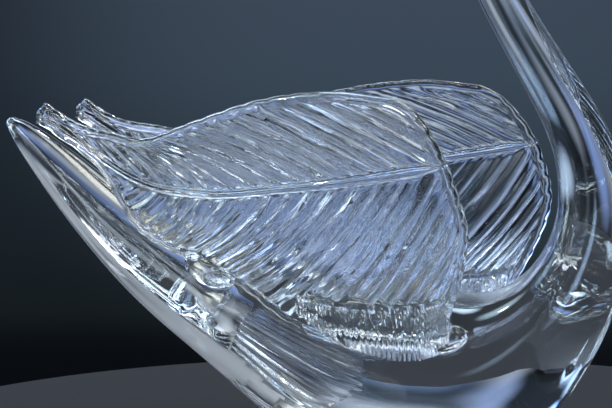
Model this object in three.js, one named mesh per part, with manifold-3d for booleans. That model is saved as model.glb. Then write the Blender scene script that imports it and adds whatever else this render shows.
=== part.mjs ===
// Swan ornament of clear glass, in millimetres, +Z up. It is one solid piece: body, neck, head, tail and two ribbed
// wings, joined while the glass is hot and ground flat underneath. The origin is the middle of that flat, +X runs to
// the head and +Y to the bird's left.
import * as THREE from 'three';
import { mergeVertices } from 'three/addons/utils/BufferGeometryUtils.js';
import Module from 'manifold-3d';

// Overall size. The free form further down is written in hundredths of this length.
const swanLength = 118;

// Ground flat under the belly: how deep the round belly is cut away.
const footGrind = 2.5;

// Wing plate, its fire-polished rim and the ribs pressed into both faces. The first ribs of each half, a share of
// them all, start on the front edge and the others on the vein.
const wingThickness = 2.6;
const rimWidth = 1.3;
const ribsPerHalf = 22;
const frontRibShare = 0.2;
const ribDepth = 0.45;
const scallopDepth = 0.25;
const veinHalfWidth = 1.1;
const veinHeight = 0.45;

// Blobs of glass that tack the lower edge of each wing to the flank, and the rounded nub that ends the wing. The
// rear one sits half-way along that edge and the front one at its front end. Each is drawn out along the edge, and
// set in towards the body and down by a share of its radius.
const rearBeadRadius = 3.2;
const frontBeadRadius = 2.4;
const beadStretch = 1.7;
const beadSetIn = 0.8;
const beadSetDown = 0.3;
const tipRadius = 1.6;

// Fineness of the facets, and how close two corners are when they are one, in millimetres.
const spineSteps = 66;
const sectionSides = 22;
const columnsPerRib = 2;
const beadSides = 12;
const beadRings = 8;
const weldGap = 1e-4;

const wasm = await Module();
wasm.setup();

const hundredth = swanLength / 100;

function ease(low, high, value) {
  return THREE.MathUtils.smoothstep(value, low, high);
}

function curveThrough(points) {
  const spots = points.map(([x, z]) => new THREE.Vector3(x, 0, z).multiplyScalar(hundredth));
  return new THREE.CatmullRomCurve3(spots, false, 'catmullrom', 0.5);
}

// Welds equal corners, drops faces that shrink to a line, and gives the closed solid.
function solidFrom(positions, triangles) {
  const loose = new THREE.BufferGeometry();
  loose.setAttribute('position', new THREE.Float32BufferAttribute(positions, 3));
  loose.setIndex(triangles);
  const welded = mergeVertices(loose, weldGap);
  const corners = welded.index.array;
  const kept = [];
  for (let i = 0; i < corners.length; i += 3) {
    const [a, b, c] = corners.slice(i, i + 3);
    if (a !== b && b !== c && c !== a) {
      kept.push(a, b, c);
    }
  }
  const vertProperties = new Float32Array(welded.attributes.position.array);
  return new wasm.Manifold(new wasm.Mesh({ numProp: 3, vertProperties, triVerts: new Uint32Array(kept) }));
}

function solidFromGeometry(geometry) {
  return solidFrom(Array.from(geometry.attributes.position.array), Array.from(geometry.index.array));
}

// Body line from the tail tip along the belly, up the neck, over the crown and down to the beak. Each station gives
// x and height of the middle line, then half the depth across it and half the width from side to side. The heights
// count from the lowest point of the round belly.
const bodyStations = [
  [-62.7, 49.1, 0.4, 0.7],
  [-60.6, 47.4, 1.7, 2.4],
  [-55.1, 42.6, 3.1, 4.6],
  [-47.0, 35.3, 4.4, 7.3],
  [-36.4, 27.4, 6.1, 10.2],
  [-23.7, 20.4, 8.1, 12.7],
  [-10.2, 14.8, 12.2, 14.4],
  [2.5, 13.0, 13.1, 14.9],
  [12.7, 14.8, 12.0, 14.4],
  [20.5, 20.2, 8.7, 12.4],
  [26.1, 28.0, 6.4, 9.3],
  [28.5, 37.7, 5.1, 6.6],
  [26.4, 48.3, 4.1, 4.7],
  [20.8, 58.0, 3.5, 3.8],
  [14.6, 68.2, 3.1, 3.3],
  [10.2, 78.4, 2.9, 3.0],
  [10.0, 86.8, 2.7, 2.8],
  [14.8, 92.9, 2.7, 2.8],
  [20.6, 93.9, 3.3, 3.2],
  [25.4, 91.4, 4.1, 3.8],
  [29.0, 87.8, 3.3, 3.1],
  [31.4, 84.9, 1.7, 2.0],
  [34.1, 81.8, 1.2, 1.6],
  [36.6, 79.2, 0.5, 0.9],
];

function buildBird() {
  const line = curveThrough(bodyStations);
  const girth = curveThrough(bodyStations.map(([, , depth, width]) => [depth, width]));
  const positions = [];
  const triangles = [];
  for (let i = 0; i <= spineSteps; i += 1) {
    const t = i / spineSteps;
    const middle = line.getPoint(t);
    const along = line.getTangent(t);
    const size = girth.getPoint(t);
    for (let j = 0; j < sectionSides; j += 1) {
      const angle = (2 * Math.PI * j) / sectionSides;
      const across = size.x * Math.cos(angle);
      positions.push(
        middle.x - along.z * across,
        size.z * Math.sin(angle),
        middle.z + along.x * across - footGrind,
      );
    }
  }
  for (let i = 0; i < spineSteps; i += 1) {
    for (let j = 0; j < sectionSides; j += 1) {
      const a = i * sectionSides + j;
      const b = i * sectionSides + ((j + 1) % sectionSides);
      triangles.push(a, b + sectionSides, b, a, a + sectionSides, b + sectionSides);
    }
  }
  for (const [t, ring, flip] of [[0, 0, false], [1, spineSteps * sectionSides, true]]) {
    const centre = positions.length / 3;
    const middle = line.getPoint(t);
    positions.push(middle.x, 0, middle.z - footGrind);
    for (let j = 0; j < sectionSides; j += 1) {
      const a = ring + j;
      const b = ring + ((j + 1) % sectionSides);
      triangles.push(centre, flip ? b : a, flip ? a : b);
    }
  }
  return solidFrom(positions, triangles);
}

// Wing seen from the side. The vein runs from the middle of the front edge to the tip, the two front edges run to
// its front end, and every rib leaves the vein or a front edge and ends on the upper or the lower edge.
const vein = curveThrough([[14.2, 43.7], [2.9, 41.7], [-8.9, 40.0], [-23.4, 38.3], [-37.4, 39.8], [-54.4, 48.8]]);
const wingHalves = [
  {
    frontEdge: curveThrough([[5.9, 52.4], [8.8, 50.9], [11.6, 47.9], [14.2, 43.7]]),
    edge: curveThrough([[5.9, 52.4], [-3.5, 53.1], [-14.9, 51.6], [-26.3, 48.2], [-35.3, 45.4], [-41.8, 46.1],
      [-47.5, 47.1], [-53.2, 50.0]]),
    bow: 0.03,
    side: 1,
  },
  {
    frontEdge: curveThrough([[10.6, 19.3], [14.6, 27.3], [16.6, 35.2], [14.2, 43.7]]),
    edge: curveThrough([[10.6, 19.3], [-0.3, 16.1], [-11.8, 19.9], [-18.9, 24.6], [-25.3, 27.6], [-31.9, 29.3],
      [-38.0, 32.5], [-44.1, 40.5], [-54.8, 47.4]]),
    bow: 0.06,
    side: -1,
  },
];

// Columns of corners along a half: two for each rib, a groove and a crest.
const columns = ribsPerHalf * columnsPerRib;
const frontColumns = Math.round(columns * frontRibShare);

// How far the middle sheet of a wing stands out from the bird's middle plane, in hundredths of the swan's length.
// At the tail the sheet is nearly upright, and leans out a little. From there it opens until, at the front, it
// stands out like the side of a bowl, whose wall bulges most a little below the wing's top.
const sheet = {
  closedAt: -52.5,
  openAt: 4.2,
  rearFoot: { height: 20.3, out: 5.1, lean: 0.06 },
  frontFoot: { height: 18.6, out: 13.6 },
  frontRise: 33.9,
  lowestRise: -0.15,
  highestRise: 1.1,
  bulge: 10.2,
  bulgeTurn: 2.3,
};

function splay(x, z) {
  const { rearFoot, frontFoot } = sheet;
  const height = z / hundredth;
  const open = ease(sheet.closedAt, sheet.openAt, x / hundredth);
  const share = (height - frontFoot.height) / sheet.frontRise;
  const rise = THREE.MathUtils.clamp(share, sheet.lowestRise, sheet.highestRise);
  const rearSplay = rearFoot.out + rearFoot.lean * (height - rearFoot.height);
  const frontSplay = frontFoot.out + sheet.bulge * Math.sin(sheet.bulgeTurn * rise);
  return hundredth * THREE.MathUtils.lerp(rearSplay, frontSplay, open);
}

// 0 in the groove between two ribs and 1 on a crest.
function crest(column) {
  return 0.5 - 0.5 * Math.cos((2 * Math.PI * column) / columnsPerRib);
}

// Corners of one rib line from its root to the wing's edge, close together over the vein and over the rim: how far
// they are from either end, as shares of the vein's half width and of the rim's width.
const veinCorners = [0.35, 1];
const rimCorners = [2, 1, 0.3];
const shortestLine = veinHalfWidth + 2.5 * rimWidth;

// Crests reach a little further out than grooves, so the edge is scalloped.
function ribLine(half, column) {
  const ahead = column < frontColumns;
  const root = ahead
    ? half.frontEdge.getPoint(column / frontColumns)
    : vein.getPoint((column - frontColumns) / (columns - frontColumns));
  const end = half.edge.getPoint(column / columns);
  const outward = end.clone().sub(root).normalize();
  end.addScaledVector(outward, scallopDepth * crest(column));
  if (ahead) {
    root.addScaledVector(outward, -scallopDepth * crest(column));
  }
  const reach = end.clone().sub(root);
  const bend = new THREE.Vector3(reach.z, 0, -reach.x).multiplyScalar(4 * half.side * half.bow);
  const length = reach.length();
  const step = 1 / Math.max(length, shortestLine);
  const nearRoot = veinCorners.map((share) => share * veinHalfWidth * step);
  const nearEnd = rimCorners.map((share) => 1 - share * rimWidth * step);
  const middle = (nearRoot[1] + nearEnd[0]) / 2;
  return [0, ...nearRoot, middle, ...nearEnd, 1].map((share) => ({
    point: root.clone().addScaledVector(reach, share).addScaledVector(bend, share * (1 - share)),
    fromVein: ahead ? Infinity : share * length,
    onEdge: share === 1 || column === 0 || column === columns || (ahead && share === 0),
  }));
}

// Straight pieces of the wing's outline: the far ends of the ribs, the front edge and the blunt tip.
function outlineOf(grids) {
  const outline = [];
  const draw = (from, to) => outline.push(new THREE.Line3(from.point, to.point));
  for (const grid of grids) {
    const last = grid[0].length - 1;
    for (let i = 0; i < columns; i += 1) {
      draw(grid[i][last], grid[i + 1][last]);
      if (i < frontColumns) {
        draw(grid[i][0], grid[i + 1][0]);
      }
    }
    for (let j = 0; j < last; j += 1) {
      draw(grid[columns][j], grid[columns][j + 1]);
    }
  }
  return outline;
}

// Half the thickness of the wing at a corner: a rounded rim, ribs on both faces, and the raised vein.
function halfThickness(corner, column, outline) {
  if (corner.onEdge) {
    return 0;
  }
  const nearest = new THREE.Vector3();
  const inset = Math.min(...outline.map((line) => (
    line.closestPointToPoint(corner.point, true, nearest).distanceTo(corner.point))));
  const rim = Math.sqrt(1 - (1 - Math.min(inset / rimWidth, 1)) ** 2);
  const ribbed = ease(rimWidth, 2 * rimWidth, inset) * ease(0, veinHalfWidth, corner.fromVein);
  const ridge = 1 - ease(0, veinHalfWidth, corner.fromVein);
  return rim * (wingThickness / 2 + veinHeight * ridge) + ribDepth * ribbed * (crest(column) - 0.5);
}

function buildWing(side) {
  const grids = wingHalves.map((half) => (
    Array.from({ length: columns + 1 }, (_, column) => ribLine(half, column))));
  const outline = outlineOf(grids);
  const positions = [];
  const triangles = [];
  grids.forEach((grid, which) => {
    const rows = grid[0].length;
    for (const face of [1, -1]) {
      const first = positions.length / 3;
      grid.forEach((line, column) => line.forEach((corner) => {
        const { x, z } = corner.point;
        positions.push(x, side * (splay(x, z) + face * halfThickness(corner, column, outline)), z);
      }));
      const turned = side * face * wingHalves[which].side > 0;
      for (let i = 0; i < columns; i += 1) {
        for (let j = 0; j < rows - 1; j += 1) {
          const a = first + i * rows + j;
          const [b, c] = turned ? [a + rows, a + 1] : [a + 1, a + rows];
          triangles.push(a, b, c, a + rows + 1, c, b);
        }
      }
    }
  });
  return solidFrom(positions, triangles);
}

function buildBead(place, radius, stretch, slope) {
  const bead = new THREE.SphereGeometry(radius, beadSides, beadRings).scale(stretch, 1, 1).rotateY(-slope);
  return solidFromGeometry(bead.translate(place.x, place.y, place.z));
}

// Drops of glass between one wing and the flank, drawn out along the wing's lower edge, and the thick nub in its tip.
function buildBeads(side) {
  const lowerEdge = wingHalves[1].edge;
  const tacks = [{ share: 0.5, radius: rearBeadRadius }, { share: 0, radius: frontBeadRadius }];
  const beads = tacks.map(({ share, radius }) => {
    const place = lowerEdge.getPoint(share);
    const along = lowerEdge.getTangent(share);
    place.y = side * (splay(place.x, place.z) - beadSetIn * radius);
    place.z -= beadSetDown * radius;
    return buildBead(place, radius, beadStretch, Math.atan(along.z / along.x));
  });
  const tip = vein.getPoint(1).addScaledVector(vein.getTangent(1), -tipRadius);
  tip.y = side * splay(tip.x, tip.z);
  return [...beads, buildBead(tip, tipRadius, 1, 0)];
}

function buildSwan() {
  let swan = buildBird();
  for (const side of [-1, 1]) {
    for (const piece of [buildWing(side), ...buildBeads(side)]) {
      swan = swan.add(piece);
    }
  }
  const below = new THREE.BoxGeometry(2 * swanLength, 2 * swanLength, swanLength).translate(0, 0, -swanLength / 2);
  return swan.subtract(solidFromGeometry(below));
}

function meshOf(name, solid, material) {
  const { vertProperties, triVerts } = solid.getMesh();
  const geometry = new THREE.BufferGeometry();
  geometry.setAttribute('position', new THREE.Float32BufferAttribute(vertProperties, 3));
  geometry.setIndex(new THREE.Uint32BufferAttribute(triVerts, 1));
  geometry.computeVertexNormals();
  const mesh = new THREE.Mesh(geometry, material);
  mesh.name = name;
  return mesh;
}

const clearGlass = new THREE.MeshStandardMaterial({
  color: 0xdde8f5,
  roughness: 0.05,
  metalness: 0,
  transparent: true,
  opacity: 0.35,
});

const group = new THREE.Group();
group.add(meshOf('glass_swan', buildSwan(), clearGlass));

export default group;
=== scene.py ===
import math

import bmesh
import bpy
import numpy as np
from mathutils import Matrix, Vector
from mathutils.bvhtree import BVHTree
from mathutils.kdtree import KDTree


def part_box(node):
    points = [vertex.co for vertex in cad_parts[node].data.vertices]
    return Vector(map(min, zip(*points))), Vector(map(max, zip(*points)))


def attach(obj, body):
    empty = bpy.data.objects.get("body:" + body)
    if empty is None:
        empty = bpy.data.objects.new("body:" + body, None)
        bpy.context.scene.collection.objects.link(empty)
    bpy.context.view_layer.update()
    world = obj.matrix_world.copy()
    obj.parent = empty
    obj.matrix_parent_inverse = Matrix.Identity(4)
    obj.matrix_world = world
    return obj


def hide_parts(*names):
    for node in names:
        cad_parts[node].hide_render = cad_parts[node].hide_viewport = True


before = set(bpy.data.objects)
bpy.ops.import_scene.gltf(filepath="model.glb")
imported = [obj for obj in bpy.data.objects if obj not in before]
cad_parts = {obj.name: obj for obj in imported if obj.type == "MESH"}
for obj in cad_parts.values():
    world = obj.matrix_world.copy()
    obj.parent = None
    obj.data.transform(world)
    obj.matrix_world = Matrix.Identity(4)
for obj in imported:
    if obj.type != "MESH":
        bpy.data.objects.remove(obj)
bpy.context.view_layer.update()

# The bird: tail, belly, breast, neck and head are one gather of clear glass, drawn out hot while it is soft, so its
# sections are round and its line flows without an edge. The table follows the middle line from the tail tip to the
# beak: x, height over the round belly, half the depth and half the width, in hundredths of the swan's length.
low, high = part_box("glass_swan")
swan_length = round(high.x - low.x, 3)
hundredth = swan_length / 100
foot_grind = 0.0025

body_stations = np.array([
    [-62.7, 49.1, 0.4, 0.7], [-60.6, 47.4, 1.7, 2.4], [-55.1, 42.6, 3.1, 4.6], [-47.0, 35.3, 4.4, 7.3],
    [-36.4, 27.4, 6.1, 10.2], [-23.7, 20.4, 8.1, 12.7], [-10.2, 14.8, 12.2, 14.4], [2.5, 13.0, 13.1, 14.9],
    [12.7, 14.8, 12.0, 14.4], [20.5, 20.2, 8.7, 12.4], [26.1, 28.0, 6.4, 9.3], [28.5, 37.7, 5.1, 6.6],
    [26.4, 48.3, 4.1, 4.7], [20.8, 58.0, 3.5, 3.8], [14.6, 68.2, 3.1, 3.3], [10.2, 78.4, 2.9, 3.0],
    [10.0, 86.8, 2.7, 2.8], [14.8, 92.9, 2.7, 2.8], [20.6, 93.9, 3.3, 3.2], [25.4, 91.4, 4.1, 3.8],
    [29.0, 87.8, 3.3, 3.1], [31.4, 84.9, 1.7, 2.0], [34.1, 81.8, 1.2, 1.6], [36.6, 79.2, 0.5, 0.9],
]) * hundredth
table_columns = body_stations.shape[1]
spine_steps = 230
section_sides = 72
draw_passes = 10

# Steps of the line that are left off at the tips, where round caps of so many rings take over.
tail_skip, beak_skip = 4, 2
cap_rings = 4

# Ripples of drawing: how many there are round the body, where they start and how many turns they drift. They fade
# out towards the tips, over these shares of the way.
drawn_lines = ((5, 0.9, 1.1), (8, 2.3, 4.0), (13, 1.7, 2.2), (19, 3.1, 0.4))
drawn_slope = 0.035
drawn_mean = 0.3
tail_fade = (0.02, 0.12)
beak_fade = (0.02, 0.2)

# How close corners are that become one, and how short an edge is that goes.
weld_gap = 1e-6
shortest_edge = 1e-7


def curve_through(points, shares):
    """Places on one smooth curve through the points, at shares of its way from 0 to 1."""
    points = np.asarray(points, float)
    gaps = len(points) - 1
    spot = np.clip(np.asarray(shares, float) * gaps, 0, gaps)
    first = np.minimum(spot.astype(int), gaps - 1)
    f = (spot - first)[..., None]
    ends = np.vstack([2 * points[0] - points[1], points, 2 * points[-1] - points[-2]])
    a, b, c, d = (ends[first + k] for k in range(4))
    return 0.5 * (2 * b + (c - a) * f + (2 * a - 5 * b + 4 * c - d) * f**2 + (3 * b - a - 3 * c + d) * f**3)


def object_of(name, form):
    """An object at the origin whose mesh is the form, which is used up."""
    mesh = bpy.data.meshes.new(name)
    form.to_mesh(mesh)
    form.free()
    thing = bpy.data.objects.new(name, mesh)
    bpy.context.scene.collection.objects.link(thing)
    return thing


def closed_object(name, corners, faces):
    """An object at the origin, with equal corners welded and its faces pointing out."""
    loose = bpy.data.meshes.new(name)
    loose.from_pydata([tuple(corner) for corner in corners], [], [tuple(face) for face in faces])
    form = bmesh.new()
    form.from_mesh(loose)
    bpy.data.meshes.remove(loose)
    bmesh.ops.remove_doubles(form, verts=form.verts, dist=weld_gap)
    bmesh.ops.dissolve_degenerate(form, edges=form.edges, dist=shortest_edge)
    bmesh.ops.triangulate(form, faces=form.faces)
    bmesh.ops.recalc_face_normals(form, faces=form.faces)
    if form.calc_volume(signed=True) < 0:
        bmesh.ops.reverse_faces(form, faces=form.faces)
    return object_of(name, form)


def rings_to_faces(rings, sides):
    """Quads between neighbouring rings, and a fan over each end."""
    faces = []
    for i in range(rings - 1):
        for j in range(sides):
            k = (j + 1) % sides
            faces.append((i * sides + j, i * sides + k, (i + 1) * sides + k, (i + 1) * sides + j))
    faces.append(tuple(range(sides)))
    faces.append(tuple(reversed(range((rings - 1) * sides, rings * sides))))
    return faces


def ease(start, stop, value):
    """0 before start, 1 after stop, and a smooth step between them."""
    share = np.clip((value - start) / (stop - start), 0, 1)
    return share * share * (3 - 2 * share)


def draw_line():
    """x, height, half the depth, half the width and direction of the drawn body, from tail to beak."""
    rows = curve_through(body_stations, np.linspace(0, 1, spine_steps + 1))
    for _ in range(draw_passes):
        rows[1:-1] = (rows[:-2] + 2 * rows[1:-1] + rows[2:]) / 4
    along = np.gradient(rows[:, :2], axis=0)
    along /= np.linalg.norm(along, axis=1)[:, None]
    return np.hstack([rows, along])


def skin(row, turn, lift=0.0):
    """A place on the bird's skin, or lifted off it: turn is 0 along the back and a quarter turn on the left side."""
    across = (row[..., 2] + lift) * np.cos(turn)
    return np.stack([
        row[..., 0] - row[..., 5] * across,
        (row[..., 3] + lift) * np.sin(turn),
        row[..., 1] + row[..., 4] * across - foot_grind,
    ], -1)


def ripples(half_depth, share, turn):
    """Height of the faint long ripples of drawing, at a share of the way from tail to beak."""
    wave = sum(np.cos(lines * turn + start + 2 * np.pi * drift * share) / lines for lines, start, drift in drawn_lines)
    settled = ease(*tail_fade, share) * ease(*beak_fade, 1 - share)
    return drawn_slope * settled * half_depth * (wave - drawn_mean)


def draw_bird(line):
    """The bird's skin: rippled ellipses across the line, and a round cap on each tip."""
    rows, along = np.split(line[tail_skip:-beak_skip], [table_columns], axis=1)
    caps = []
    for row, tangent, sign in ((rows[0], along[0], -1), (rows[-1], along[-1], 1)):
        turns = np.linspace(0, math.pi / 2, cap_rings + 2)[1:-1]
        rings = [(row[0] + sign * tangent[0] * row[2] * math.sin(turn),
                  row[1] + sign * tangent[1] * row[2] * math.sin(turn),
                  row[2] * math.cos(turn), row[3] * math.cos(turn), *tangent) for turn in turns]
        caps.append(np.array(rings[::sign]))
    rows = np.vstack([caps[0], np.hstack([rows, along]), caps[1]])
    angle = 2 * np.pi * np.arange(section_sides) / section_sides
    share = np.linspace(0, 1, len(rows))[:, None]
    corners = skin(rows[:, None, :], angle, ripples(rows[:, 2, None], share, angle)).reshape(-1, 3)
    return closed_object("swan_body", corners, rings_to_faces(len(rows), section_sides))


line = draw_line()
swan = draw_bird(line)

# The two wings: leaf-shaped plates of the same glass, pressed between ribbed tools and fire-polished round the rim.
# A raised vein runs to the tip, and the ribs leave it, or the front edge, and end in shallow scallops on the
# outline. Places are x and height in hundredths of the swan's length, seen from the side.
wing_thickness = 0.0026
rim_width = 0.0013
rib_depth = 0.00045
scallop_depth = 0.00025
vein_half_width = 0.0011
vein_height = 0.00045

# Ribs in each half. One part in five of them starts on the front edge and the others on the vein.
ribs_per_half = 22
front_part = 5
front_ribs = ribs_per_half / front_part

# Where a half's ribs stand closer, they pass into the others over these ribs behind the front edge. The second, finer
# set of ribs has a share of the relief, and closer ribs lose some of that share and of their depth.
closer_fade = (-0.5, 2.5)
fine_share = 0.32
fine_share_loss = 0.08
depth_loss = 0.15
rib_mean = 0.61
rib_seed = 10

# Edge of the wing, in widths of the rim: how far its rounding goes, where the groove inside it lies and wanders, how
# wide the groove is, and how far the ribs rise from it.
rim_round = 0.85
rim_groove = 0.00024
groove_place = 1.16
groove_wander = 0.10
groove_width = 0.24
groove_seed = 40
rib_rise = 0.6

# Beside the vein, in half widths of it: the groove's place and width, and where the ribs start. At its front end the
# vein thins out over a length, to a share of its size.
vein_groove = 0.00012
vein_groove_place = 1.2
vein_groove_width = 0.3
vein_clear = (0.7, 1.9)
vein_taper = 0.006
vein_thinnest = 0.15

# Corners across a rib, along it between the edges, and near an edge in widths of the rim, which narrows on ribs
# that are shorter than so many widths.
samples_per_rib = 9
middle_rows = 13
near_rim = np.array([0, 0.04, 0.14, 0.3, 0.5, 0.72, 0.92, 1.12, 1.34, 1.62, 2.1])
short_rib = 4.4
vein_columns = round((ribs_per_half - front_ribs) * samples_per_rib)

vein = np.array([[14.2, 43.7], [2.9, 41.7], [-8.9, 40.0], [-23.4, 38.3], [-37.4, 39.8], [-54.4, 48.8]])
upper_half = dict(
    side=1, bow=0.03, closer=1.0,
    front_edge=[[5.9, 52.4], [8.8, 50.9], [11.6, 47.9], [14.2, 43.7]],
    edge=[[5.9, 52.4], [-3.5, 53.1], [-14.9, 51.6], [-26.3, 48.2], [-35.3, 45.4], [-41.8, 46.1], [-47.5, 47.1],
          [-53.2, 50.0]],
)
lower_half = dict(
    side=-1, bow=0.06, closer=2.5,
    front_edge=[[10.6, 19.3], [14.6, 27.3], [16.6, 35.2], [14.2, 43.7]],
    edge=[[10.6, 19.3], [-0.3, 16.1], [-11.8, 19.9], [-18.9, 24.6], [-25.3, 27.6], [-31.9, 29.3], [-38.0, 32.5],
          [-44.1, 40.5], [-54.8, 47.4]],
)

# The wing's middle sheet is nearly upright at the tail and opens towards the front, where it stands out like the side
# of a bowl.
sheet_closed, sheet_open = -52.5, 4.2
rear_foot = dict(height=20.3, out=5.1, lean=0.06)
front_foot = dict(height=18.6, out=13.6)
front_rise = 33.9
rise_range = (-0.15, 1.1)
bulge, bulge_turn = 10.2, 2.3


def splay(places):
    """How far the middle sheet of a wing stands out from the bird's middle plane, at x and height."""
    x, z = places[..., 0] / hundredth, places[..., 1] / hundredth
    forward = ease(sheet_closed, sheet_open, x)
    rise = np.clip((z - front_foot["height"]) / front_rise, *rise_range)
    rear = rear_foot["out"] + rear_foot["lean"] * (z - rear_foot["height"])
    front = front_foot["out"] + bulge * np.sin(bulge_turn * rise)
    return hundredth * (rear + (front - rear) * forward)


def rib_grid(half):
    """x and height of each corner of half a wing, one row of corners per column, its distance from the vein, the
    number of the rib that it is on, and how many columns start on the front edge."""
    front_columns = round(front_ribs * half["closer"] * samples_per_rib)
    column = np.arange(front_columns + vein_columns + 1)
    ahead = column < front_columns
    front_share = column / front_columns
    vein_share = (column - front_columns) / vein_columns
    root = np.where(ahead[:, None], curve_through(half["front_edge"], front_share), curve_through(vein, vein_share))
    share = np.where(ahead, front_share / front_part, 1 / front_part + (1 - 1 / front_part) * vein_share)
    root, end = root * hundredth, curve_through(half["edge"], share) * hundredth
    outward = end - root
    outward /= np.maximum(np.linalg.norm(outward, axis=1), 1e-9)[:, None]
    rib = column / samples_per_rib
    crest = np.abs(np.sin(np.pi * rib))
    end = end + outward * scallop_depth * crest[:, None]
    root = root - outward * (scallop_depth * crest * ahead)[:, None]
    reach = end - root
    length = np.linalg.norm(reach, axis=1)
    step = rim_width / np.maximum(length, short_rib * rim_width)
    start, stop = near_rim[-1] * step, 1 - near_rim[-1] * step
    inner = start[:, None] + (stop - start)[:, None] * np.linspace(0, 1, middle_rows + 2)[1:-1]
    shares = np.hstack([near_rim * step[:, None], inner, 1 - near_rim[::-1] * step[:, None]])
    bend = np.stack([reach[:, 1], -reach[:, 0]], -1) * 4 * half["side"] * half["bow"]
    curve = (shares * (1 - shares))[..., None]
    places = root[:, None] + reach[:, None] * shares[..., None] + bend[:, None] * curve
    from_vein = np.where(ahead[:, None], 1.0, shares * length[:, None])
    return places, from_vein, np.broadcast_to(rib[:, None], shares.shape), front_columns


def outline_of(grids):
    """Start and end of each straight piece of the wing's outline."""
    pieces = []
    for places, _, _, front_columns in grids:
        pieces += [
            (places[:-1, -1], places[1:, -1]),
            (places[:front_columns, 0], places[1:front_columns + 1, 0]),
            (places[-1, :-1], places[-1, 1:]),
        ]
    return np.vstack([a for a, b in pieces]), np.vstack([b for a, b in pieces])


def distance_to(outline, places):
    """Distance from each place to the nearest piece of the outline."""
    start, stop = outline
    flat = places.reshape(-1, 2)
    way = stop - start
    size = np.maximum((way**2).sum(1), 1e-18)
    nearest = np.full(len(flat), np.inf)
    for a, w, s in zip(start, way, size):
        share = np.clip((flat - a) @ w / s, 0, 1)
        nearest = np.minimum(nearest, np.linalg.norm(flat - a - share[:, None] * w, axis=1))
    return nearest.reshape(places.shape[:-1])


def wobble(first, second, seed):
    """A smooth uneven value between about -1 and 1, the same on every run."""
    draw = np.random.default_rng(seed)
    total = 0
    for pace in (0.7, 1.3, 2.1, 3.4):
        turn_a, turn_b, start = draw.uniform(0.7, 1.3), draw.uniform(0.5, 1.5), draw.uniform(0, 6.28)
        total = total + np.sin(pace * (turn_a * first + turn_b * second) + start) / 2
    return total / 2


def rib_relief(places, rib, face, side, closer):
    """Height of the ribs on one face, 0 in a groove and 1 on a crest, with the small unevenness of hot pressing: ribs
    wander, the finer set comes and goes, and some are pressed deeper than others."""
    along = places[..., 0] / hundredth
    seed = rib_seed + 2 * face + side
    shift = 0.0 if face > 0 else 0.5 - 0.25 * (closer - 1)
    turned = rib + shift + 0.10 * wobble(2.2 * rib, 0.35 * along, seed)
    main = np.abs(np.sin(np.pi * turned))
    fine = np.abs(np.sin(np.pi * (2 * turned + 0.3 * wobble(1.5 * rib, 0.25 * along, seed + 1))))
    share = fine_share - fine_share_loss * (closer - 1) + 0.18 * wobble(3.0 * rib, 0.12 * along, seed + 2)
    deep = 1 + 0.3 * wobble(2.6 * rib, 0.2 * along, seed + 3) + 0.12 * wobble(0.9 * rib, 1.3 * along, seed + 4)
    return 0.5 + deep * ((1 - share) * main + share * fine - rib_mean)


def press_wing(side):
    """One wing, both faces ribbed, with a narrow groove inside the rounded rim and on both sides of the vein."""
    grids = [rib_grid(half) for half in (upper_half, lower_half)]
    outline = outline_of(grids)
    corners, faces, first = [], [], 0
    for (places, from_vein, rib, front_columns), half in zip(grids, (upper_half, lower_half)):
        inset = distance_to(outline, places)
        from_vein_end = np.linalg.norm(places - vein[0] * hundredth, axis=-1)
        taper = vein_thinnest + (1 - vein_thinnest) * ease(0, vein_taper, from_vein_end)
        from_vein = np.minimum(from_vein, from_vein_end) / taper
        x, z = places[..., 0] / hundredth, places[..., 1] / hundredth
        rim = np.sqrt(np.clip(1 - (1 - np.minimum(inset / rim_width / rim_round, 1))**2, 0, 1))
        inside = rim_width * (groove_place + groove_wander * wobble(0.9 * x, 0.9 * z, groove_seed + side))
        beside = vein_groove_place * vein_half_width
        grooves = (rim_groove * np.exp(-((inset - inside) / (groove_width * rim_width))**2)
                   + vein_groove * np.exp(-((from_vein - beside) / (vein_groove_width * vein_half_width))**2))
        ribbed = ease(inside, inside + rib_rise * rim_width, inset) * ease(
            vein_clear[0] * vein_half_width, vein_clear[1] * vein_half_width, from_vein)
        ridge = taper * (1 - ease(0, vein_half_width, from_vein))
        closer = half["closer"] + (1 - half["closer"]) * ease(*closer_fade, rib - front_columns / samples_per_rib)
        depth = rib_depth / closer**depth_loss
        middle = splay(places)
        rows = places.shape[1]
        for face in (1, -1):
            relief = depth * ribbed * (rib_relief(places, rib, face, side, closer) - 0.5) - grooves * rim
            half_thickness = rim * (wing_thickness / 2 + vein_height * ridge) + relief
            across = side * (middle + face * half_thickness)
            corners.append(np.stack([places[..., 0], across, places[..., 1]], -1).reshape(-1, 3))
            for i in range(len(places) - 1):
                for j in range(rows - 1):
                    a = first + i * rows + j
                    faces.append((a, a + 1, a + rows + 1, a + rows))
            first += places.shape[0] * rows
    return closed_object("wing", np.vstack(corners), faces)


wings = [press_wing(side) for side in (-1, 1)]

# Drops of hot glass that tack the lower edge of each wing to the flank, drawn out along that edge, and the thick
# rounded nub in which the wing ends. The rear one sits half-way along the edge and the front one at its front end,
# each set in towards the body and down by a share of its radius.
rear_bead_radius = 0.0032
front_bead_radius = 0.0024
bead_stretch = 1.7
bead_set_in = 0.8
bead_set_down = 0.3
tip_radius = 0.0016
large_drop = 0.002
lump_size = 0.0006
lump_depth = 0.05
short_way = 0.001


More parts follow.
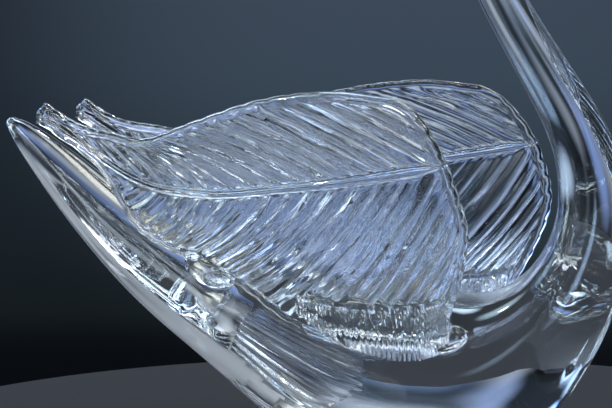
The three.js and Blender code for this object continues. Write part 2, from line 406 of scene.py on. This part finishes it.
def drop(place, radius, stretch, slope):
    """A drop of glass, drawn out along its slope in the side view and a little lumpy from the tool."""
    form = bmesh.new()
    bmesh.ops.create_icosphere(form, subdivisions=3 if radius < large_drop else 4, radius=radius)
    for corner in form.verts:
        way = corner.co / lump_size
        lumps = (math.sin(way.x * 1.1 + 1.3 * way.z) + math.sin(1.7 * way.z - 0.6 * way.x + 2.1)
                 + math.sin(1.9 * way.y + way.x))
        corner.co *= 1 - lump_depth * (1 + lumps / 3)
        x, z = corner.co.x * stretch, corner.co.z
        corner.co.x = place[0] + x * math.cos(slope) - z * math.sin(slope)
        corner.co.z = place[2] + x * math.sin(slope) + z * math.cos(slope)
        corner.co.y += place[1]
    return object_of("drop", form)


def drops_of(side):
    """The two tacks and the tip nub of one wing."""
    made = []
    for share, radius in ((0.5, rear_bead_radius), (0.0, front_bead_radius)):
        spots = curve_through(lower_half["edge"], [share, share + short_way]) * hundredth
        slope = math.atan2(spots[1, 1] - spots[0, 1], spots[1, 0] - spots[0, 0])
        out = side * (splay(spots[0]) - bead_set_in * radius)
        made.append(drop((spots[0, 0], out, spots[0, 1] - bead_set_down * radius), radius, bead_stretch, slope))
    spots = curve_through(vein, [1 - short_way, 1.0]) * hundredth
    inward = (spots[0] - spots[1]) / np.linalg.norm(spots[0] - spots[1])
    tip = spots[1] + inward * tip_radius
    made.append(drop((tip[0], side * splay(tip), tip[1]), tip_radius, 1, 0))
    return made


drops = drops_of(-1) + drops_of(1)

# Glass pinched with a toothed tool where a wing sits on the flank: a comb of short upright ribs in two tiers under
# the front of the wing, with a welt along its top and between the tiers, and behind it a fan of long flutes that
# sweep down the flank. Each is a closed patch that starts a little under the skin and laps into the glass behind.
comb_ribs = 34
comb_samples = 6
comb_rows = 16
comb_depth = 0.00032
comb_rise = 0.0003
comb_sunk = 0.00025
comb_lap = 0.0028
comb_seed = 60

# Where the tiers shift and where the welt between them runs, as shares of the way down. The welts flatten the ribs,
# and the comb passes from the wing to the flank over a short length.
tier_shift_at = 0.45
tier_welt_at = 0.46
top_welt_at = 0.07
welt_width = 0.05
welt_height = 0.00030
welt_flattens = 0.8
wing_to_flank = 0.0022
outside = 0.1

# Top and foot of the comb, as x and height in hundredths of the swan's length.
comb_top = np.array([[-10.2, 24.6], [-5, 24.1], [2, 24.0], [8, 24.4], [12.2, 25.4]])
comb_foot = np.array([[-10.2, 21.8], [-5, 17.6], [2, 15.4], [8, 15.6], [11.6, 18.4]])

flute_count = 10
flute_samples = 8
flute_rows = 30
flute_depth = 0.00030
flute_rise = 0.00022
flute_sunk = 0.0002
flute_lap = 0.0012
flute_seed = 70

# Start and end of the flutes, as a station of the body's table and a turn round the body in degrees.
flute_start = np.array([[5.15, 308], [5.1, 290], [5.2, 262]])
flute_end = np.array([[6.75, 291], [6.9, 272], [6.15, 243]])


def shell(name, outer, inward):
    """A closed patch of glass: the outer face, a grid of places, and a hidden face further in."""
    rows, count = outer.shape[:2]
    corners = np.vstack([outer.reshape(-1, 3), (outer + inward).reshape(-1, 3)])
    size = rows * count
    faces = []
    for i in range(rows - 1):
        for j in range(count - 1):
            a = i * count + j
            faces.append((a, a + 1, a + count + 1, a + count))
            faces.append((size + a, size + a + count, size + a + count + 1, size + a + 1))
    ring = (list(range(count)) + [i * count + count - 1 for i in range(1, rows)]
            + [(rows - 1) * count + j for j in range(count - 2, -1, -1)] + [i * count for i in range(rows - 2, 0, -1)])
    for a, b in zip(ring, ring[1:] + ring[:1]):
        faces.append((b, a, size + a, size + b))
    return closed_object(name, corners, faces)


def fade_of(across, down, sides, top, foot):
    """1 inside a patch and 0 on its border, with a fade of these shares at its sides, top and foot."""
    return ease(0, sides, across) * ease(0, sides, 1 - across) * ease(0, top, down) * ease(0, foot, 1 - down)


def comb_of(flank, side):
    """The comb of one wing, over the outer face of the wing and on down the flank."""
    across = np.linspace(0, 1, comb_ribs * comb_samples + 1)
    down = np.linspace(0, 1, comb_rows + 1)[:, None]
    top, foot = curve_through(comb_top, across), curve_through(comb_foot, across)
    places = (top + (foot - top) * down[..., None]) * hundredth
    wing_face = splay(places) + wing_thickness / 2
    body_face = np.full(wing_face.shape, -1.0)
    for index in np.ndindex(body_face.shape):
        x, z = places[index]
        hit = flank.ray_cast(Vector((x, side * outside, z)), Vector((0, -side, 0)))[0]
        if hit:
            body_face[index] = abs(hit.y)
    mix = np.clip(0.5 + 0.5 * (wing_face - body_face) / wing_to_flank, 0, 1)
    surface = body_face + (wing_face - body_face) * mix + wing_to_flank * mix * (1 - mix)
    rib = across * comb_ribs
    turned = rib + 0.22 * wobble(1.1 * rib, 3.0 * down, comb_seed + side) + 0.5 * (down > tier_shift_at)
    teeth = np.abs(np.sin(np.pi * turned)) * (1 + 0.4 * wobble(2.1 * rib, 2.0 * down, comb_seed + 2 + side))
    tier = tier_welt_at + 0.05 * wobble(0.35 * rib, 0, comb_seed + 4 + side)
    welts = np.exp(-((down - top_welt_at) / welt_width)**2) + np.exp(-((down - tier) / welt_width)**2)
    ribbed = comb_rise + comb_depth * teeth * (1 - welt_flattens * np.minimum(welts, 1)) + welt_height * welts
    lift = fade_of(across, down, 0.05, 0.05, 0.12) * ribbed - comb_sunk
    outer = np.stack([places[..., 0], side * (surface + lift), places[..., 1]], -1)
    return shell("comb", outer, np.array([0, -side * comb_lap, 0]))


def flutes_of(line, side):
    """The fan of long flutes behind the comb."""
    across = np.linspace(0, 1, flute_count * flute_samples + 1)
    down = np.linspace(0, 1, flute_rows + 1)[:, None]
    start, end = curve_through(flute_start, across), curve_through(flute_end, across)
    spot = start + (end - start) * down[..., None]
    stations = spot[..., 0] * spine_steps / (len(body_stations) - 1)
    index = stations.astype(int)
    row = line[index] + (line[index + 1] - line[index]) * (stations - index)[..., None]
    turn = -side * np.radians(spot[..., 1])
    rib = across * flute_count
    teeth = np.abs(np.sin(np.pi * (rib + 0.16 * wobble(1.3 * rib, 2.0 * down, flute_seed + side))))
    deep = 1 + 0.35 * wobble(1.9 * rib, 1.5 * down, flute_seed + 2 + side)
    rings = spine_steps - tail_skip - beak_skip + 2 * cap_rings
    ripple = ripples(row[..., 2], (stations - tail_skip + cap_rings) / rings, turn)
    fluted = flute_rise + flute_depth * deep * teeth
    lift = ripple + fade_of(across, down, 0.08, 0.12, 0.22) * fluted - flute_sunk
    outer = skin(row, turn, lift)
    return shell("flutes", outer, skin(row, turn, lift - flute_lap) - outer)


flank = BVHTree.FromObject(swan, bpy.context.evaluated_depsgraph_get())
pinched = [piece for side in (-1, 1) for piece in (comb_of(flank, side), flutes_of(line, side))]

# The whole swan in one piece: the wings and drops run into the body while the glass is hot, so the joins are filled
# and rounded. The combs and flutes are pinched in after that and keep their edges, and last of all the belly is
# ground flat underneath to stand on.
seam_reach = 0.0018
seam_passes = 24
seam_pull = 0.6
seam_shortest_edge = 0.00002
seam_lowest = 0.00001
part_marks = [bpy.data.materials.new(f"part_{mark}") for mark in range(2)]


def fuse(target, tool, operation):
    """Joins or cuts target with tool, which is used up. The faces that come from the tool bear the second mark."""
    for thing in (target, tool):
        for mark in part_marks[len(thing.data.materials):]:
            thing.data.materials.append(mark)
    tool.data.polygons.foreach_set("material_index", np.ones(len(tool.data.polygons), np.int32))
    cut = target.modifiers.new("cut", "BOOLEAN")
    cut.operation = operation
    cut.solver = "MANIFOLD"
    cut.object = tool
    graph = bpy.context.evaluated_depsgraph_get()
    made = bpy.data.meshes.new_from_object(target.evaluated_get(graph))
    target.modifiers.clear()
    target.data = made
    bpy.data.objects.remove(tool)


def soften_seams(thing):
    """Rounds the joins: corners near a seam slide towards the middle of their neighbours."""
    form = bmesh.new()
    form.from_mesh(thing.data)
    bmesh.ops.dissolve_degenerate(form, edges=form.edges, dist=seam_shortest_edge)
    bmesh.ops.triangulate(form, faces=form.faces)
    seam = [v.co.copy() for e in form.edges if len({f.material_index for f in e.link_faces}) > 1 for v in e.verts]
    tree = KDTree(len(seam))
    for index, spot in enumerate(seam):
        tree.insert(spot, index)
    tree.balance()
    near = []
    for corner in form.verts:
        _, _, gap = tree.find(corner.co)
        if gap < seam_reach and corner.co.z > seam_lowest:
            near.append((corner, 1 - float(ease(0, seam_reach, gap))))
    for _ in range(seam_passes):
        moved = []
        for corner, weight in near:
            around = [edge.other_vert(corner).co for edge in corner.link_edges]
            middle = sum(around, Vector()) / len(around)
            moved.append(corner.co.lerp(middle, seam_pull * weight))
        for (corner, _), place in zip(near, moved):
            corner.co = place
    for face in form.faces:
        face.material_index = 0
        face.smooth = True
    form.to_mesh(thing.data)
    form.free()


def grindstone_of():
    """A block whose top is the level that the swan stands on."""
    form = bmesh.new()
    bmesh.ops.create_cube(form, size=1)
    for corner in form.verts:
        corner.co = corner.co * 3 * swan_length + Vector((0, 0, -1.5 * swan_length))
    return object_of("grindstone", form)


swan.name = "clear_glass_swan"
for tool in wings + drops:
    fuse(swan, tool, "UNION")
soften_seams(swan)
for tool in pinched:
    fuse(swan, tool, "UNION")
for face in swan.data.polygons:
    face.use_smooth = True
fuse(swan, grindstone_of(), "DIFFERENCE")
swan.data.polygons.foreach_set("material_index", np.zeros(len(swan.data.polygons), np.int32))

# The finish: clear glass, fire-polished, with faint cords and chill marks in its skin, which also shift its grey-blue
# tint a little. The ground foot is matt, and so is the very edge round it.
glass_ior = 1.5
foot_matt = 0.38
smear_matt = 0.03


def fill(tree, made, **values):
    """Fills in a node's sockets, with numbers, colours or links, and its settings."""
    for name, value in values.items():
        socket = made.inputs.get(name.replace("_", " "))
        if socket is None:
            setattr(made, name, value)
        elif isinstance(value, bpy.types.NodeSocket):
            tree.links.new(value, socket)
        else:
            socket.default_value = value
    return made


def node(tree, kind, **values):
    """A new node with its sockets and settings filled in."""
    return fill(tree, tree.nodes.new(kind), **values)


def shaded(tree, value, stops):
    """A colour that follows a value from 0 to 1 through stops, each a place and a colour."""
    made = node(tree, "ShaderNodeValToRGB", Fac=value)
    elements = made.color_ramp.elements
    while len(elements) < len(stops):
        elements.new(0.5)
    for element, (place, colour) in zip(elements, stops):
        element.position = place
        element.color = (*colour, 1)
    return made.outputs["Color"]


def larger(tree, first, second):
    """The larger of two values."""
    made = node(tree, "ShaderNodeMath", operation="MAXIMUM")
    tree.links.new(first, made.inputs[0])
    tree.links.new(second, made.inputs[1])
    return made.outputs[0]


glass = bpy.data.materials.new("clear_glass")
glass.use_nodes = True
glass_tree = glass.node_tree
glass_place = node(glass_tree, "ShaderNodeTexCoord").outputs["Object"]
cords = node(glass_tree, "ShaderNodeTexNoise", Vector=glass_place, Scale=180.0, Detail=0.0).outputs["Fac"]
chill = node(glass_tree, "ShaderNodeTexNoise", Vector=glass_place, Scale=1500.0, Detail=3.0, Roughness=0.6)
chill_bump = node(glass_tree, "ShaderNodeBump", Height=chill.outputs["Fac"], Strength=0.02, Distance=0.00002)
cord_bump = node(glass_tree, "ShaderNodeBump", Height=cords, Strength=0.20, Distance=0.00006,
                 Normal=chill_bump.outputs["Normal"])
tint = shaded(glass_tree, cords, [(0.3, (0.955, 0.972, 0.985)), (0.7, (0.985, 0.992, 1.0))])
foot_height = node(glass_tree, "ShaderNodeSeparateXYZ", Vector=glass_place).outputs["Z"]
ground = node(glass_tree, "ShaderNodeMapRange", Value=foot_height,
              From_Min=0.00005, From_Max=0.0003, To_Min=foot_matt, To_Max=0.0)
smear = node(glass_tree, "ShaderNodeMapRange", Value=chill.outputs["Fac"],
             From_Min=0.45, From_Max=0.8, To_Min=0.0, To_Max=smear_matt)
fill(glass_tree, glass_tree.nodes["Principled BSDF"], IOR=glass_ior, Transmission_Weight=1.0,
     Normal=cord_bump.outputs["Normal"], Base_Color=tint,
     Roughness=larger(glass_tree, ground.outputs[0], smear.outputs[0]))
swan.data.materials.clear()
swan.data.materials.append(glass)
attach(swan, "root")
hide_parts("glass_swan")

# The board that the swan stands on: a round turned slab of a pale, dull, finely grained material. It lies a hair's
# breadth under the ground foot, so that the two faces don't share one plane.
board_radius = 0.1
board_thickness = 0.004
board_segments = 160
board_gap = 0.00005
form = bmesh.new()
bmesh.ops.create_cone(form, cap_ends=True, segments=board_segments, radius1=board_radius, radius2=board_radius,
                      depth=board_thickness)
board = object_of("floor", form)
board.location.z = -board_thickness / 2 - board_gap
pale = bpy.data.materials.new("pale_board")
pale.use_nodes = True
pale_tree = pale.node_tree
pale_place = node(pale_tree, "ShaderNodeTexCoord").outputs["Object"]
grain = node(pale_tree, "ShaderNodeTexNoise", Vector=pale_place, Scale=1800.0, Detail=3.0).outputs["Fac"]
grain_bump = node(pale_tree, "ShaderNodeBump", Height=grain, Strength=0.2, Distance=0.00005)
fill(pale_tree, pale_tree.nodes["Principled BSDF"], Roughness=0.6, Normal=grain_bump.outputs["Normal"],
     Base_Color=shaded(pale_tree, grain, [(0.0, (0.66, 0.68, 0.72)), (1.0, (0.74, 0.76, 0.80))]))
board.data.materials.append(pale)

# The light of a dim slate-blue room. Its wall is darkest a little under eye level and glows at one side behind the
# swan. Soft panels all round light the glass alone, which shows them by refraction and reflection, a soft light hangs
# over the board, and two small warm lamps make the sparks.
room_reach = 0.75
room_shades = [
    (-0.60, (0.050, 0.058, 0.070)),
    (-0.35, (0.040, 0.048, 0.060)),
    (-0.20, (0.005, 0.008, 0.010)),
    (-0.155, (0.009, 0.012, 0.017)),
    (-0.14, (0.021, 0.031, 0.038)),
    (-0.094, (0.031, 0.047, 0.064)),
    (-0.04, (0.042, 0.063, 0.092)),
    (0.10, (0.056, 0.075, 0.108)),
    (0.30, (0.044, 0.053, 0.068)),
    (0.75, (0.044, 0.051, 0.062)),
]
glow_azimuth = math.radians(197)
glow_spread = math.radians(12)
glow_least = 0.36
sky_from, sky_to = 0.05, 0.25
panel_distance = 0.7
light_aim = Vector((0, 0, 0.04))

world = bpy.data.worlds.new("slate_room")
world.use_nodes = True
bpy.context.scene.world = world
room = world.node_tree
way = node(room, "ShaderNodeTexCoord").outputs["Generated"]
way_up = node(room, "ShaderNodeSeparateXYZ", Vector=way).outputs["Z"]
wall_height = node(room, "ShaderNodeMapRange", Value=way_up, From_Min=-room_reach, From_Max=room_reach)
wall = shaded(room, wall_height.outputs[0],
              [((height + room_reach) / (2 * room_reach), shade) for height, shade in room_shades])
towards_glow = node(room, "ShaderNodeVectorMath", operation="DOT_PRODUCT", Vector=way)
towards_glow.inputs[1].default_value = (math.sin(glow_azimuth), -math.cos(glow_azimuth), 0)
glow = node(room, "ShaderNodeMapRange", interpolation_type="SMOOTHSTEP", Value=towards_glow.outputs["Value"],
            From_Min=math.cos(glow_spread), From_Max=1.0, To_Min=glow_least, To_Max=1.0)
sky = node(room, "ShaderNodeMapRange", Value=way_up, From_Min=sky_from, From_Max=sky_to, To_Min=0.0, To_Max=1.0)
background = room.nodes["Background"]
room.links.new(wall, background.inputs[0])
room.links.new(larger(room, glow.outputs[0], sky.outputs[0]), background.inputs[1])

glass_only = bpy.data.collections.new("lit_glass")
glass_only.objects.link(swan)
board_only = bpy.data.collections.new("lit_board")
board_only.objects.link(board)


def face_from(thing, target, azimuth, elevation, distance):
    """Puts a light or the camera at a distance from the target and turns it to face it. The azimuth runs from the
    front towards the head side."""
    az, el = math.radians(azimuth), math.radians(elevation)
    thing.location = target + distance * Vector((
        math.sin(az) * math.cos(el), -math.cos(az) * math.cos(el), math.sin(el)))
    thing.rotation_euler = (target - thing.location).to_track_quat("-Z", "Y").to_euler()
    bpy.context.scene.collection.objects.link(thing)


def softbox(name, azimuth, elevation, distance, side, radiance, colour, lit=glass_only):
    """A square panel of light that fades towards its edges. It falls only on what is in the lit collection."""
    light = bpy.data.lights.new(name, "AREA")
    light.shape = "RECTANGLE"
    light.size, light.size_y = side, side
    light.energy = radiance * math.pi * side * side
    light.color = colour
    light.use_nodes = True
    tree = light.node_tree
    from_middle = node(tree, "ShaderNodeVectorMath", operation="DISTANCE",
                       Vector=node(tree, "ShaderNodeNewGeometry").outputs["Parametric"])
    from_middle.inputs[1].default_value = (0.5, 0.5, 0)
    fade = node(tree, "ShaderNodeMapRange", interpolation_type="SMOOTHSTEP", Value=from_middle.outputs["Value"],
                From_Min=0.5, From_Max=0.1, To_Max=2.2)
    fill(tree, tree.nodes["Emission"], Strength=fade.outputs[0])
    thing = bpy.data.objects.new(name, light)
    face_from(thing, light_aim, azimuth, elevation, distance)
    thing.visible_camera = False
    thing.light_linking.receiver_collection = lit


# Each panel's azimuth, elevation, side and radiance in red, green and blue.
panels = [
    ("window_left", 310, 60, 0.30, (4.0, 5.4, 7.8)),
    ("window_middle", 340, 60, 0.30, (1.6, 1.9, 2.0)),
    ("window_right", 5, 60, 0.30, (4.5, 4.9, 5.8)),
    ("front_low", 35, 10, 0.30, (1.8, 2.7, 4.0)),
    ("front_middle", 5, 10, 0.30, (0.8, 1.1, 1.5)),
    ("front_high", 35, 35, 0.30, (1.2, 1.4, 1.6)),
    ("side_left", 280, 10, 0.30, (3.6, 4.6, 4.8)),
    ("side_left_high", 275, 32, 0.30, (1.0, 1.9, 2.8)),
    ("side_left_behind", 250, 14, 0.30, (0.7, 1.3, 2.8)),
    ("side_right_high", 125, 55, 0.30, (4.5, 4.8, 4.4)),
    ("side_right", 60, 35, 0.30, (0.6, 0.7, 0.8)),
    ("front_right_high", 60, 60, 0.30, (2.2, 2.8, 3.0)),
    ("rim_far_left", 255, 50, 0.30, (2.2, 3.2, 3.8)),
    ("rim_left", 212, 50, 0.30, (3.4, 4.6, 5.9)),
    ("rim_middle", 190, 50, 0.30, (1.1, 1.4, 1.8)),
    ("rim_right", 170, 50, 0.30, (4.0, 4.0, 3.7)),
    ("behind_blue", 232, 16, 0.22, (1.6, 2.4, 4.4)),
    ("behind_high_far_left", 232, 28, 0.22, (3.2, 3.8, 4.9)),
    ("behind_high_left", 220, 28, 0.22, (0.9, 1.1, 1.3)),
    ("behind_high_right", 184, 28, 0.22, (1.3, 1.5, 1.5)),
    ("behind_left", 208, 16, 0.22, (0.40, 0.46, 0.62)),
    ("behind_high_middle", 184, 14, 0.22, (0.16, 0.18, 0.20)),
    ("behind_middle", 196, 6, 0.22, (0.17, 0.20, 0.25)),
    ("behind_middle_left", 208, 6, 0.22, (0.10, 0.13, 0.21)),
    ("behind_middle_low", 208, -4, 0.22, (0.10, 0.14, 0.24)),
    ("behind_right", 184, -4, 0.22, (0.07, 0.08, 0.10)),
    ("behind_end", 172, 16, 0.22, (0.16, 0.18, 0.20)),
    ("behind_low", 196, -14, 0.22, (0.08, 0.12, 0.24)),
    ("behind_low_left", 208, -14, 0.22, (0.13, 0.15, 0.18)),
    ("behind_low_right", 152, -8, 0.30, (0.17, 0.23, 0.31)),
    ("side_low_left", 250, -8, 0.30, (0.5, 0.75, 1.2)),
]
for name, azimuth, elevation, side, colour in panels:
    softbox(name, azimuth, elevation, panel_distance, side, 1.0, colour)
softbox("over_board", 0, 89, 0.6, 0.5, 0.22, (0.95, 0.97, 1.0), board_only)
softbox("lamp", 190, 38, 0.8, 0.05, 70.0, (1.0, 0.92, 0.72))
softbox("lamp_high", 260, 50, 0.8, 0.06, 60.0, (1.0, 0.92, 0.72))

# The camera stands where the photograph was taken, close to level and a little ahead of the wing, with a lens that
# gives the photograph's frame. Light passes through many walls of the glass before it goes out, so that no dark slots
# are left in it.
photo_width = 612
focal_pixels = 2320
sensor = 36
light_passes = 32
gloss_passes = 16
camera_data = bpy.data.cameras.new("camera")
camera_data.sensor_width = sensor
camera_data.lens = focal_pixels * sensor / photo_width
camera = bpy.data.objects.new("camera", camera_data)
face_from(camera, Vector((-0.017, 0, 0.042)), 20, 5.5, 0.4)
bpy.context.scene.camera = camera
bpy.context.scene.view_settings.view_transform = "Standard"
cycles = bpy.context.scene.cycles
cycles.max_bounces = light_passes
cycles.transmission_bounces = light_passes
cycles.glossy_bounces = gloss_passes
cycles.caustics_refractive = False
cycles.caustics_reflective = False
